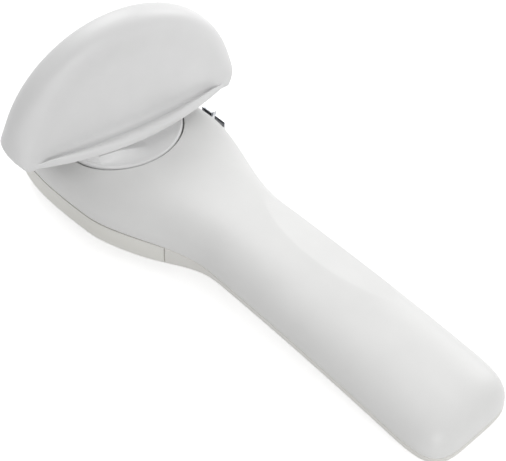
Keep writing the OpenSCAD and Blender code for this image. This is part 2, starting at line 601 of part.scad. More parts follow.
// Pincer that the push bar closes, with a turned-up end
moving_tip = [[jaw_mid - jaw_gap / 2, jaw_reach], [jaw_left + 2.2, jaw_reach], [jaw_left, jaw_reach - 1.6]];
module moving_jaw() color("Silver") translate([key_x, 0, jaw_z]) difference() {
  union() {
    translate(jaw_pin) cylinder(r = jaw_eye, h = jaw_t);
    linear_extrude(jaw_t) polygon(concat([[jaw_left, jaw_y + 5.5], [jaw_x - 2, jaw_y], [bar_tip, jaw_y + 1.2],
      [bar_tip, jaw_y - 1.5], [jaw_x + 1, jaw_y - 1.5], [jaw_x + 2, jaw_y],
      [jaw_mid - jaw_gap / 2, jaw_y + 5]], moving_tip));
    linear_extrude(jaw_t + jaw_lift)
      polygon(concat([[jaw_left, jaw_root], [jaw_mid - jaw_gap / 2, jaw_root]], moving_tip));
  }
  translate([jaw_x, jaw_y, -1]) cylinder(r = jaw_pin_r + run_gap, h = 9);
}

// Pincer that stays still, on two pegs of the lower shell, with a turned-up end
fixed_tip = [[jaw_right, jaw_reach - 1.9], [jaw_mid + jaw_gap / 2 + 1.2, jaw_reach],
  [jaw_mid + jaw_gap / 2, jaw_reach]];
module fixed_jaw() color("Silver") translate([key_x, 0, jaw_z]) difference() {
  union() {
    linear_extrude(jaw_t) polygon(concat([[jaw_mid + jaw_gap / 2, jaw_y + 5.5], [fixed_hold, jaw_y + 4],
      [fixed_hold, jaw_y - 4], [fixed_hold + 3, jaw_y - 4], [jaw_right, jaw_y + 4]], fixed_tip));
    linear_extrude(jaw_t + jaw_lift)
      polygon(concat([[jaw_mid + jaw_gap / 2, jaw_root], [jaw_right, jaw_root]], fixed_tip));
  }
  for (y = [jaw_y - 2.3, jaw_y + 2.3])
    translate([fixed_hold + 1.5, y, -1]) cylinder(r = 0.85 + press_gap, h = 9, $fn = 32);
}

// Pin of the moving pincer, held in both shells
module jaw_pin() color("Silver") translate([key_x + jaw_x, jaw_y, head_z + 2.1])
  cylinder(r = jaw_pin_r, h = jaw_top - head_z - 0.1);

upper_shell();
lower_shell();
shell_screws();
key_wing();
key_disc();
key_washer();
drive_shaft();
drive_wheel();
shaft_bush();
pinion_gear();
clutch_spring();
cam_gear();
cutter_axle();
cutting_wheel();
cutter_washer();
side_lever();
lever_pin();
return_spring();
push_bar();
moving_jaw();
fixed_jaw();
jaw_pin();
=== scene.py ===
import math

import bmesh
import bpy
import numpy as np
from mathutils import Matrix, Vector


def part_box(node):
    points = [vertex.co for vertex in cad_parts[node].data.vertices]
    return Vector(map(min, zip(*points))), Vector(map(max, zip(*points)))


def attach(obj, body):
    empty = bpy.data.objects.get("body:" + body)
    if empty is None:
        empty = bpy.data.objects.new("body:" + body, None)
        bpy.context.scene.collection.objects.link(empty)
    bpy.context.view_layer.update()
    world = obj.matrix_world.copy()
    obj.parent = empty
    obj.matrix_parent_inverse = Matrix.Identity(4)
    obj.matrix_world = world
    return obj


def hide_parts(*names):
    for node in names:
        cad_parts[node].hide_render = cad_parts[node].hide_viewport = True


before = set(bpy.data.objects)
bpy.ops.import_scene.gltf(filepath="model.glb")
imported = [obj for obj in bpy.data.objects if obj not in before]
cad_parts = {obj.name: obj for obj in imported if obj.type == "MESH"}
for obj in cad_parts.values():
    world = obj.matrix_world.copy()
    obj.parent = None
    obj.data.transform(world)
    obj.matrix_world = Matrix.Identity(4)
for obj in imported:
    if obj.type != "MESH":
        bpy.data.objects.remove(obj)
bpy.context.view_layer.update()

# Lower shell: the shallow cover under the handle, deeper under the head where it carries the drive.
# White ABS, injection moulded in one piece with its bosses, and screwed to the upper shell from below.
# All shapes are worked out in millimetres, with x counted from the key's axis.
KEY_X = 500 * (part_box("drive_shaft")[0].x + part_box("drive_shaft")[1].x)
HEAD_REACH, HEAD_HALF, HEAD_MID, HEAD_RUN = 32.0, 28.0, 13.5, 44.0
NECK_X, NECK_HALF = 60.0, 16.8
TAIL_REACH, TAIL_HALF, TAIL_ROUND = 150.0, 19.0, 24.0
TAIL_X = TAIL_REACH - TAIL_ROUND
NOSE_POWER, TAIL_POWER = 3.0, 4.6
SPINE_A, SPINE_B = -6.0, 134.0
PART_Z, DROOP, DROOP_X = 13.8, 10.5, 20.0
HEAD_DEPTH, HANDLE_DEPTH, STEP_X, STEP_RUN = 9.4, 4.6, 32.0, 30.0
HEAD_POWER, HANDLE_POWER = 10.0, 4.0
WALL, SEAM, RIM_ROUND, SHIFT_AHEAD, SHIFT_PAST = 2.2, 0.1, 0.18, 11.3, 12.0
HEAD_Z = PART_Z - SEAM / 2 - HEAD_DEPTH
LEVER_END, LEVER_T, LEVER_GAP, END_GAP, LEVER_SWING = 40.5, 3.0, 0.8, 0.45, math.radians(1.4)
PIVOT, PIVOT_R, BOSS = (-21.0, -12.5), 1.5, 3.0
RUN_GAP, PRESS_GAP = 0.06, 0.02
SCREW_XS = np.array([-26.0, 37.5, 84.0, 132.0])


def ease(t):
    """Smooth step: 0 up to t = 0, 1 from t = 1, and 3t² - 2t³ between."""
    t = np.clip(t, 0, 1)
    return t * t * (3 - 2 * t)


def half_width(x):
    """Half width of the body in plan: a superellipse nose, a smooth step from the head to the tapered handle,
    and a superellipse factor that rounds the tail."""
    handle = NECK_HALF + (TAIL_HALF - NECK_HALF) * (x - NECK_X) / (TAIL_REACH - NECK_X)
    back = handle + (HEAD_HALF - handle) * (1 - ease((x - HEAD_MID) / HEAD_RUN))
    ahead = np.clip((HEAD_MID - x) / (HEAD_REACH + HEAD_MID), 0, 1)
    nose = HEAD_HALF * (1 - ahead ** NOSE_POWER) ** (1 / NOSE_POWER)
    behind = np.clip((x - TAIL_X) / TAIL_ROUND, 0, 1)
    return np.where(x < HEAD_MID, nose, back) * (1 - behind ** TAIL_POWER) ** (1 / TAIL_POWER)


def parting(x):
    """Height of the parting line: level under the head, then a parabola that drops to the tail."""
    return PART_Z - DROOP * np.clip((x - DROOP_X) / (TAIL_REACH - DROOP_X), 0, 1) ** 2


def stepped(x, head, handle):
    """A measure of the lower shell: a smooth step from the head's to the handle's."""
    return head + (handle - head) * ease((x - STEP_X) / STEP_RUN)


def depth(x):
    """Depth of the lower shell."""
    return stepped(x, HEAD_DEPTH, HANDLE_DEPTH)


def arc(angle, power):
    """Point (c, h) of the curve c^n + h^n = 1 at a polar angle: 1, 0 at the rim and 0, 1 on top."""
    c, h = np.cos(angle), np.sin(angle)
    size = (c ** power + h ** power) ** (-1 / power)
    return c * size, h * size


def plan_loop():
    """Outline in plan, counter-clockwise from the nose along the near side to the tail and back: polar points
    of the two rounded ends, even steps between, and a double point where the lever's room ends."""
    step = LEVER_END + END_GAP
    c, h = arc(np.radians(np.linspace(0, 90, 64)), NOSE_POWER)
    xs = np.concatenate([HEAD_MID - (HEAD_REACH + HEAD_MID) * c, np.linspace(HEAD_MID, step, 46)[1:]])
    held = len(xs)
    c, h = arc(np.radians(np.linspace(90, 0, 56)), TAIL_POWER)
    xs = np.concatenate([xs, np.linspace(step, TAIL_X, 132), (TAIL_X + TAIL_ROUND * c)[1:]])
    near = np.stack([xs, -half_width(xs)], -1)
    near[[0, -1], 1] = 0
    return np.concatenate([near, near[-2:0:-1] * (1, -1)]), len(xs), held


def normals(loop):
    """Inward normals of a closed loop: the chord between a point's neighbours, turned left."""
    chord = np.roll(loop, -1, 0) - np.roll(loop, 1, 0)
    return np.stack([-chord[:, 1], chord[:, 0]], -1) / np.linalg.norm(chord, axis=1)[:, None]


def raised(loop, angle, power):
    """Rows of a dome in plan with their share of its height: each outline point is drawn towards the spine
    by c while it climbs by h."""
    c, h = arc(angle[:, None], power)
    spine = np.clip(loop[:, 0], SPINE_A, SPINE_B)
    return spine + (loop[:, 0] - spine) * c, loop[:, 1] * c, h * np.ones(len(loop))


def closed_top(rows, side):
    """Rows of a dome whose last row is a slit: its near half takes the far half's points, on the middle
    plane."""
    rows[-1, :side] = rows[-1, -np.arange(side) % rows.shape[1]]
    rows[-1, :, 1] = 0
    return rows


def solid(name, *grids, sharp=32):
    """Closed mesh from grids of points in millimetres: neighbouring points make quads, columns close on
    themselves, points that coincide are merged, and a flat face fills each open end."""
    quads, start = [], 0
    for grid in grids:
        rows, cols = grid.shape[:2]
        a = np.arange((rows - 1) * cols).reshape(-1, cols)
        b = np.roll(a, -1, 1)
        quads.append(np.stack([a, b, b + cols, a + cols], -1).reshape(-1, 4) + start)
        start += rows * cols
    points = np.concatenate([grid.reshape(-1, 3) for grid in grids])
    mesh = bpy.data.meshes.new(name)
    mesh.from_pydata(((points + (KEY_X, 0, 0)) / 1000).tolist(), [], np.concatenate(quads).tolist())
    work = bmesh.new()
    work.from_mesh(mesh)
    bmesh.ops.remove_doubles(work, verts=work.verts, dist=2e-6)
    bmesh.ops.dissolve_degenerate(work, edges=work.edges, dist=1e-7)
    bmesh.ops.holes_fill(work, edges=[e for e in work.edges if e.is_boundary], sides=0)
    bmesh.ops.recalc_face_normals(work, faces=work.faces)
    work.to_mesh(mesh)
    work.free()
    mesh.shade_smooth()
    mesh.set_sharp_from_angle(angle=math.radians(sharp))
    piece = bpy.data.objects.new(name, mesh)
    bpy.context.scene.collection.objects.link(piece)
    return piece


def turned(profile, x=0.0, y=0.0, around=96):
    """Grid of a profile of (radius, height) points carried round an upright axis at x, y."""
    angle = np.linspace(0, 2 * np.pi, around, endpoint=False)
    radius, height = np.array(profile, float).T
    return np.stack([x + radius[:, None] * np.cos(angle), y + radius[:, None] * np.sin(angle),
                     height[:, None] * np.ones(around)], -1)


def rod(x, y, radius, low, high):
    """Grid of an upright cylinder."""
    return turned([(radius, low), (radius, high)], x, y, 64)


def block(low, high):
    """Grid of a box between two corners: its four upright edges."""
    (x0, y0, z0), (x1, y1, z1) = low, high
    corners = np.array([(x0, y0), (x1, y0), (x1, y1), (x0, y1)], float)
    return np.stack([np.column_stack([corners, np.full(4, z)]) for z in (z0, z1)])


def worked(piece, joined=(), removed=(), sharp=32):
    """The piece with closed solids added to it and then others cut from it, one after another."""
    for kind, grids in (("UNION", joined), ("DIFFERENCE", removed)):
        for grid in grids:
            tool = solid("tool", grid)
            step = piece.modifiers.new("step", "BOOLEAN")
            step.operation, step.solver, step.object = kind, "MANIFOLD", tool
            made = bpy.data.meshes.new_from_object(piece.evaluated_get(bpy.context.evaluated_depsgraph_get()))
            piece.modifiers.clear()
            piece.data, old = made, piece.data
            bpy.data.meshes.remove(old)
            bpy.data.meshes.remove(tool.data)
    piece.data.name = piece.name
    piece.data.materials.clear()
    piece.data.shade_smooth()
    piece.data.set_sharp_from_angle(angle=math.radians(sharp))
    return piece


def linear(code):
    """Linear colour of an sRGB hex code."""
    c = np.array([int(code[i:i + 2], 16) / 255 for i in (1, 3, 5)])
    return (*np.where(c <= 0.04045, c / 12.92, ((c + 0.055) / 1.055) ** 2.4), 1.0)


def add(tree, kind, sockets=None, **settings):
    """Adds a node with its settings; a socket takes a value, or a link from another node's output."""
    node = tree.nodes.new(kind)
    for key, value in settings.items():
        setattr(node, key, value)
    for key, value in (sockets or {}).items():
        if isinstance(value, bpy.types.NodeSocket):
            tree.links.new(value, node.inputs[key])
        else:
            node.inputs[key].default_value = value
    return node


def bare_material(name):
    """A new material and its empty node tree."""
    finish = bpy.data.materials.new(name)
    finish.use_nodes = True
    finish.node_tree.nodes.clear()
    return finish, finish.node_tree


def moulded_abs(name, colour, shade):
    """Satin ABS from a fine spark-eroded mould: an even pale skin with soft broad highlights, a grain that
    only roughens them, and slow differences of gloss and tone where the melt flowed."""
    grain_mm, flow_mm = 0.45, 16.0
    finish, tree = bare_material(name)
    where = add(tree, "ShaderNodeTexCoord").outputs["Object"]
    flow = add(tree, "ShaderNodeTexNoise", {"Vector": where, "Scale": 1000 / flow_mm, "Detail": 3.0})
    tone = add(tree, "ShaderNodeValToRGB", {"Fac": flow.outputs["Fac"]})
    tone.color_ramp.elements[0].position, tone.color_ramp.elements[0].color = 0.3, linear(shade)
    tone.color_ramp.elements[1].position, tone.color_ramp.elements[1].color = 0.7, linear(colour)
    gloss = add(tree, "ShaderNodeMapRange", {"Value": flow.outputs["Fac"], "From Min": 0.3, "From Max": 0.7,
                                             "To Min": 0.38, "To Max": 0.46})
    grain = add(tree, "ShaderNodeTexNoise", {"Vector": where, "Scale": 1000 / grain_mm, "Detail": 2.0})
    bump = add(tree, "ShaderNodeBump", {"Height": grain.outputs["Fac"], "Strength": 0.25, "Distance": 2e-5})
    skin = add(tree, "ShaderNodeBsdfPrincipled", {"Base Color": tone.outputs["Color"], "IOR": 1.53,
                                                  "Roughness": gloss.outputs["Result"],
                                                  "Normal": bump.outputs["Normal"]})
    add(tree, "ShaderNodeOutputMaterial", {"Surface": skin.outputs["BSDF"]})
    return finish


LOOP, SIDE, HELD = plan_loop()
INWARD = normals(LOOP)


def lever_room():
    """Outline of the lower shell: the near side of the plan drawn in behind the lever's blade, by the blade,
    its gap and its swing, more where the outline runs aslant, and by nothing past the lever's end."""
    loop = LOOP.copy()
    x = loop[:HELD, 0]
    e = np.maximum(x, 1 - HEAD_REACH)
    slant = np.minimum(np.hypot(0.4, half_width(e + 0.2) - half_width(e - 0.2)) / 0.4, 1.8)
    room = (LEVER_T + LEVER_GAP + (x - PIVOT[0]) * math.sin(LEVER_SWING)) * slant
    drawn_in = loop[:HELD, 1] + room * ease((x + HEAD_REACH - 1.5) / 3.5)
    loop[:HELD, 1] = np.minimum(drawn_in, 0.3 * loop[:HELD, 1])
    return loop


def lower_rows(loop, angle, wall):
    """Rows of the lower shell's dome, downwards from the parting line and flat where it stands on the
    table."""
    power = stepped(loop[:, 0], HEAD_POWER, HANDLE_POWER)
    x, y, h = raised(loop, angle, power)
    z = np.maximum(parting(x) - SEAM / 2 - (depth(x) - wall) * h, wall)
    return closed_top(np.stack([x, y, z], -1), SIDE)


cover = lever_room()
cover_in = cover + WALL * INWARD
# At the lever's end the inner wall is moved along the outline too, so that the step there stays a wall thick.
past = cover[:SIDE, 0] - LEVER_END - END_GAP
along = np.where(np.arange(SIDE) < HELD, ease((past + SHIFT_AHEAD) / SHIFT_AHEAD), 1 - ease(past / SHIFT_PAST))
cover_in[:SIDE] += (WALL * along)[:, None] * np.stack([INWARD[:SIDE, 1], -INWARD[:SIDE, 0]], -1)
rim = cover + RIM_ROUND * INWARD
rim = np.column_stack([rim, parting(rim[:, 0]) - SEAM / 2])[None]
outer = lower_rows(cover, np.radians(np.linspace(1.2, 90, 72)), 0)
inner = lower_rows(cover_in, np.radians(np.linspace(0, 90, 26)), WALL)
GEAR_Z, EYE_Z, JAW_Z, JAW_T = 7.75, 9.35, 13.6, 2.1
BUSH_R, CAM_R, GEAR_GAP = 4.5, 8.0, 18.0
JAW_PIN, JAW_PIN_R, JAW_BOSS, JAW_LEFT, JAW_RIGHT = (12.6, 20.5), 1.2, 2.5, 7.85, 18.15
HOLD_X, BAR_X, BAR_HALF, BAR_GAP, PEG_R, PEG_YS = 15.6, 7.0, 1.2, 0.1, 0.85, (-2.3, 2.3)
SCREW_R, SCREW_HEAD_R, SCREW_HEAD_H = 1.45, 2.7, 1.8
seats = parting(SCREW_XS) - depth(SCREW_XS) + SCREW_HEAD_H + 0.8
slot = BAR_HALF + BAR_GAP
lower_shell = worked(
    solid("lower_shell_skin", np.concatenate([inner[::-1], rim, outer])),
    [rod(x, 0, SCREW_HEAD_R + 1.2, parting(x) - depth(x) + 0.5, parting(x) - SEAM / 2) for x in SCREW_XS]
    + [rod(0, 0, BUSH_R + 2, HEAD_Z + 0.5, GEAR_Z - 0.2),
       rod(GEAR_GAP, 0, CAM_R + 2.2, HEAD_Z + 0.5, GEAR_Z - 0.2),
       rod(*PIVOT, BOSS, HEAD_Z + 0.5, EYE_Z - 2.1), rod(*JAW_PIN, JAW_BOSS, HEAD_Z + 0.6, JAW_Z - 0.2),
       block((HOLD_X, 16.5, HEAD_Z + 0.6), (HOLD_X + 3, 24.5, JAW_Z))]
    + [rod(HOLD_X + 1.5, JAW_PIN[1] + y, PEG_R, JAW_Z - 1, JAW_Z + JAW_T - 0.4) for y in PEG_YS]
    + [block((BAR_X - 2.7, y, HEAD_Z + 0.6), (BAR_X + 2.7, y + 2, JAW_Z + 1.4)) for y in (-17, 13)],
    [rod(x, 0, SCREW_R + 0.15, -5, 25) for x in SCREW_XS]
    + [rod(x, 0, SCREW_HEAD_R + 0.25, -5, seat) for x, seat in zip(SCREW_XS, seats)]
    + [rod(0, 0, BUSH_R + PRESS_GAP, -1, 29), rod(GEAR_GAP, 0, CAM_R + RUN_GAP, -1, 29),
       rod(*PIVOT, PIVOT_R + PRESS_GAP, HEAD_Z + 1, 24), rod(*JAW_PIN, JAW_PIN_R + PRESS_GAP, HEAD_Z + 2, 26),
       block((BAR_X - slot, -40, JAW_Z - 3.6), (BAR_X + slot, -10, 30)),
       block((BAR_X - slot, 5, JAW_Z - 0.1), (BAR_X + slot, 17, 30)),
       block((PIVOT[0] - 4.6, -40, EYE_Z - 2), (PIVOT[0] + 6.2, PIVOT[1] + 3.6, 30)),
       block((JAW_LEFT - 0.6, JAW_PIN[1] + 4.2, JAW_Z - 0.3), (JAW_RIGHT + 0.6, 45, 30))])
cover_abs = moulded_abs("satin_abs_cover", "#ECEBE7", "#E8E6E1")
lower_shell.data.materials.append(cover_abs)
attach(lower_shell, "housing")
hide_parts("lower_shell")

# Bush, shaft and drive wheel: the key's shaft runs in a flanged bronze bush in the cover's floor and ends in
# a toothed wheel that walks along the can's rim. Sintered bronze, turned steel and hardened steel.
SHAFT_R, DRIVE_R, DRIVE_W, DRIVE_TEETH = 3.0, 5.0, 3.0, 26


def eased(profile, radius, ring=True):
    """Profile with each corner replaced by a small parabola that starts and ends a radius away from it,
    between two more points that keep the straight parts straight; a ring's profile closes on itself."""
    p = np.array(profile, float)
    back, ahead = np.roll(p, 1, 0) - p, np.roll(p, -1, 0) - p
    lengths = [np.linalg.norm(v, axis=1)[:, None] for v in (back, ahead)]
    a, b = (p + v / n * np.minimum(radius, 0.4 * n) for v, n in zip((back, ahead), lengths))
    a2, b2 = (p + v / n * np.minimum(1.2 * radius, 0.45 * n) for v, n in zip((back, ahead), lengths))
    t = np.linspace(0, 1, 6)[:, None, None]
    bend = (1 - t) ** 2 * a + 2 * t * (1 - t) * p + t * t * b
    points = np.concatenate([a2[None], bend, b2[None]]).transpose(1, 0, 2)
    if ring:
        points = points.reshape(-1, 2)
        return np.concatenate([points, points[:1]])
    return np.concatenate([p[:1], points[1:-1].reshape(-1, 2), p[-1:]])


def turned_metal(name, colour, rough, axis_x, pitch_mm, streak=0.08):
    """Turned metal: a clear mirror drawn out by the rings that the tool left round the axis, with slow
    differences of gloss. The rings are drawn coarse enough to show."""
    smear_mm = 5.0
    finish, tree = bare_material(name)
    where = add(tree, "ShaderNodeTexCoord").outputs["Object"]
    centred = add(tree, "ShaderNodeMapping", {"Vector": where, "Location": (-(KEY_X + axis_x) / 1000, 0, 0)})
    rings = add(tree, "ShaderNodeTexWave", {"Vector": centred.outputs["Vector"], "Distortion": 0.6,
                                            "Scale": 1000 / pitch_mm / 20, "Detail": 2.0},
                wave_type="RINGS", rings_direction="Z")
    smear = add(tree, "ShaderNodeTexNoise", {"Vector": where, "Scale": 1000 / smear_mm, "Detail": 4.0})
    gloss = add(tree, "ShaderNodeMapRange", {"Value": smear.outputs["Fac"], "From Min": 0.3, "From Max": 0.7,
                                             "To Min": rough - streak, "To Max": rough + streak})
    bump = add(tree, "ShaderNodeBump", {"Height": rings.outputs["Fac"], "Strength": 0.2, "Distance": 1e-5})
    metal = add(tree, "ShaderNodeBsdfPrincipled", {"Base Color": linear(colour), "Metallic": 1.0,
                                                   "Roughness": gloss.outputs["Result"],
                                                   "Normal": bump.outputs["Normal"]})
    add(tree, "ShaderNodeOutputMaterial", {"Surface": metal.outputs["BSDF"]})
    return finish


def dressed(node, finish):
    """A CAD node that keeps its shape and takes a finish."""
    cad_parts[node].data.materials.clear()
    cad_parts[node].data.materials.append(finish)


bright_steel = turned_metal("turned_steel", "#B9BCC0", 0.28, 0.0, 0.25)
hard_steel = turned_metal("hardened_steel_wheel", "#A9ACB1", 0.26, 0.0, 0.25)
bronze = turned_metal("sintered_bronze", "#A98A57", 0.42, 0.0, 0.4)
dressed("drive_shaft", bright_steel)
bush = solid("shaft_bush_ring", turned(eased([
    (SHAFT_R + RUN_GAP, HEAD_Z - 0.9), (BUSH_R + 1.7, HEAD_Z - 0.9), (BUSH_R + 1.7, HEAD_Z - 0.02),
    (BUSH_R, HEAD_Z - 0.02), (BUSH_R, GEAR_Z - 0.2), (SHAFT_R + RUN_GAP, GEAR_Z - 0.2)], 0.15)))
bush.data.materials.append(bronze)
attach(bush, "housing")
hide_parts("shaft_bush")


def toothed(teeth, tip, root, bore, rows):
    """Grid of a toothed wheel on the key's axis: each row is the tooth outline, drawn in by its inset, at its
    height, and the bore closes it. A tooth is flat for a quarter of its pitch, with straight flanks."""
    angle = np.linspace(0, 2 * np.pi, teeth * 16, endpoint=False)
    phase = np.abs((angle * teeth / np.pi + 1) % 2 - 1)
    radius = np.interp(phase, [0.25, 1], [tip, root])
    radii = np.array([np.full(len(angle), bore) if inset is None else radius - inset for inset, _ in rows])
    heights = np.array([height for _, height in rows])[:, None] * np.ones(len(angle))
    return np.stack([radii * np.cos(angle), radii * np.sin(angle), heights], -1)


drive_wheel = solid("drive_wheel_teeth", toothed(DRIVE_TEETH, DRIVE_R, DRIVE_R - 0.55, SHAFT_R + PRESS_GAP, [
    (None, 0), (0.3, 0), (0.2, 0.06), (0, 0.3), (0, DRIVE_W - 0.3), (0.2, DRIVE_W - 0.06), (0.3, DRIVE_W),
    (None, DRIVE_W), (None, 0)]))
drive_wheel.data.materials.append(hard_steel)
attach(drive_wheel, "key")
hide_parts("drive_wheel")

# Pinion with its clutch spring, cam gear, and cutter with axle and washer: the cam swings the cutter against
# the rim; the cutter is a hardened wheel with a bevelled edge that runs free on a shouldered axle. Natural
# acetal gears; spring, wheel, axle and washer of steel.
CUTTER_X, CUTTER_R, CUTTER_W, CUTTER_Z, BEVEL = 15.0, 9.2, 2.2, 1.9, 2.6
AXLE_R, CAM_Z, GEAR_TOP = 2.5, 4.5, 10.75


def natural_acetal(name):
    """Natural acetal: milky, waxy and slightly warm, with a soft gloss and faint clouds."""
    cloud_mm = 4.0
    finish, tree = bare_material(name)
    where = add(tree, "ShaderNodeTexCoord").outputs["Object"]
    cloud = add(tree, "ShaderNodeTexNoise", {"Vector": where, "Scale": 1000 / cloud_mm, "Detail": 3.0})
    tone = add(tree, "ShaderNodeValToRGB", {"Fac": cloud.outputs["Fac"]})
    tone.color_ramp.elements[0].position, tone.color_ramp.elements[0].color = 0.3, linear("#E1DDD1")
    tone.color_ramp.elements[1].position, tone.color_ramp.elements[1].color = 0.7, linear("#EBE8DF")
    gloss = add(tree, "ShaderNodeMapRange", {"Value": cloud.outputs["Fac"], "To Min": 0.3, "To Max": 0.4})
    wax = add(tree, "ShaderNodeBsdfPrincipled", {"Base Color": tone.outputs["Color"], "IOR": 1.48,
                                                 "Roughness": gloss.outputs["Result"]})
    add(tree, "ShaderNodeOutputMaterial", {"Surface": wax.outputs["BSDF"]})
    return finish


acetal = natural_acetal("natural_acetal")
for node in ("pinion_gear", "cam_gear"):
    dressed(node, acetal)
spring_steel = turned_metal("oiled_spring_steel", "#6E7176", 0.34, 0.0, 0.3)
dressed("clutch_spring", spring_steel)
cutter_steel = turned_metal("ground_cutter_steel", "#B4B7BB", 0.24, CUTTER_X, 0.3)
cutter = solid("cutting_wheel_disc", turned(eased([
    (AXLE_R + RUN_GAP, CUTTER_Z), (CUTTER_R - BEVEL, CUTTER_Z), (CUTTER_R, CUTTER_Z + CUTTER_W / 2 - 0.1),
    (CUTTER_R, CUTTER_Z + CUTTER_W / 2 + 0.1), (CUTTER_R - BEVEL, CUTTER_Z + CUTTER_W),
    (AXLE_R + RUN_GAP, CUTTER_Z + CUTTER_W)], 0.12), CUTTER_X, around=144), sharp=20)
cutter.data.materials.append(cutter_steel)
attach(cutter, "cutter")
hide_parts("cutting_wheel")
axle = solid("cutter_axle_rivet", turned(eased([
    (0, CUTTER_Z - 1.7), (AXLE_R + 1.1, CUTTER_Z - 1.7), (AXLE_R + 1.7, CUTTER_Z - 1.2),
    (AXLE_R + 1.7, CUTTER_Z - 0.1), (AXLE_R, CUTTER_Z - 0.1), (AXLE_R, CAM_Z - 0.05),
    (AXLE_R - 0.5, CAM_Z - 0.05), (AXLE_R - 0.5, GEAR_TOP), (0, GEAR_TOP)], 0.2, ring=False), CUTTER_X))
axle_steel = turned_metal("turned_axle_steel", "#B9BCC0", 0.28, CUTTER_X, 0.25)
axle.data.materials.append(axle_steel)
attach(axle, "cam")
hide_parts("cutter_axle")
dressed("cutter_washer", axle_steel)

# Squeeze lever, its pin and spring: a blade that carries on the head's near flank, hung on a steel pin by an
# arm at the nose, and pushed out by a torsion spring. White ABS moulding, steel pin, spring steel wire.
LEVER_NOSE, LEVER_TOP = 27.0, 13.4


def blade_loops(xs):
    """Loops round the blade at stations along the near outline: down the flank of the lower dome to the
    blade's thickness, up its inner face, and back across its top."""
    plan = np.stack([xs, -half_width(xs)], -1)
    chord = np.stack([0.4 * np.ones(len(xs)), half_width(xs - 0.2) - half_width(xs + 0.2)], -1)
    out = np.stack([chord[:, 1], -chord[:, 0]], -1) / np.linalg.norm(chord, axis=1)[:, None]
    spine = np.stack([np.clip(xs, SPINE_A, SPINE_B), np.zeros(len(xs))], -1)
    arm = plan - spine
    power = stepped(xs, HEAD_POWER, HANDLE_POWER)
    c_in = 1 - LEVER_T / (arm * out).sum(1)
    low = np.arctan((parting(xs) - SEAM / 2 - LEVER_TOP) / depth(xs))
    high = np.arctan2((1 - c_in ** power) ** (1 / power), c_in)
    c, h = arc(low + (high - low) * np.linspace(0, 1, 34)[:, None], power)
    floor = parting(xs) - SEAM / 2 - depth(xs) * h
    inside = floor[-1] + (LEVER_TOP - floor[-1]) * np.linspace(0, 1, 12)[1:, None]
    top = c_in + (c[0] - c_in) * np.linspace(0, 1, 6)[1:-1, None]
    share = np.concatenate([c, np.tile(c_in, (11, 1)), top])
    height = np.concatenate([floor, inside, np.full((4, len(xs)), LEVER_TOP)])
    place = spine + arm * share[..., None]
    return np.concatenate([place, height[..., None]], -1).transpose(1, 0, 2)


def prism(outline, low, high):
    """Grid of an upright prism over a plan outline."""
    return np.stack([np.column_stack([outline, np.full(len(outline), z)]) for z in (low, high)])


lever = worked(
    solid("side_lever_blade", blade_loops(np.linspace(-LEVER_NOSE, LEVER_END, 110))),
    [prism([(-24.4, -17.9), (-16.6, -22.4), (PIVOT[0] + 2.4, PIVOT[1]), (PIVOT[0] - 2.4, PIVOT[1])],
           EYE_Z, LEVER_TOP - 0.1), rod(*PIVOT, BOSS, EYE_Z, LEVER_TOP - 0.1)],
    [rod(*PIVOT, PIVOT_R + RUN_GAP, 0, 40)], sharp=40)
# Painted light: the lever takes a copy of the cover's white ABS a shade lighter, standing in for light on the
# head's near flank.
lever.data.materials.append(moulded_abs("satin_abs_lever_painted_light", "#F2F1EC", "#EEEDE7"))
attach(lever, "lever")
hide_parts("side_lever")
dressed("lever_pin", bright_steel)
dressed("return_spring", spring_steel)

# Push bar and pincers: the lever's bar closes the moving pincer on the fixed one, to lift a cut lid. The bar
# is acetal; the pincers are stamped steel, tumbled round at the edges and chrome plated, on a steel pin.
JAW_MID, JAW_GAP, JAW_REACH, JAW_ROOT, JAW_LIFT = 13.0, 1.5, 31.2, 28.9, 1.8


def chrome_plate(name):
    """Chrome plate: a near mirror with a cool tint, broken by smudges that dull it and spread the
    reflection."""
    smudge_mm = 2.0
    finish, tree = bare_material(name)
    where = add(tree, "ShaderNodeTexCoord").outputs["Object"]
    smudge = add(tree, "ShaderNodeTexNoise", {"Vector": where, "Scale": 1000 / smudge_mm, "Detail": 4.0})
    gloss = add(tree, "ShaderNodeMapRange", {"Value": smudge.outputs["Fac"], "From Min": 0.35,
                                             "From Max": 0.75, "To Min": 0.06, "To Max": 0.16})
    dull = add(tree, "ShaderNodeMapRange", {"Value": smudge.outputs["Fac"], "From Min": 0.35,
                                            "From Max": 0.65})
    tint = add(tree, "ShaderNodeMix", {0: dull.outputs["Result"], 6: linear("#D4D5D8"), 7: linear("#8A8C90")},
               data_type="RGBA")
    plate = add(tree, "ShaderNodeBsdfPrincipled", {"Base Color": tint.outputs[2], "Metallic": 1.0,
                                                   "Roughness": gloss.outputs["Result"]})
    add(tree, "ShaderNodeOutputMaterial", {"Surface": plate.outputs["BSDF"]})
    return finish


def tumbled(piece, width_mm):
    """Small round edges, as tumbling leaves on a stamping."""
    edge = piece.modifiers.new("tumbled_edge", "BEVEL")
    edge.width, edge.segments, edge.limit_method = width_mm / 1000, 3, "ANGLE"
    edge.angle_limit, edge.harden_normals = math.radians(35), True


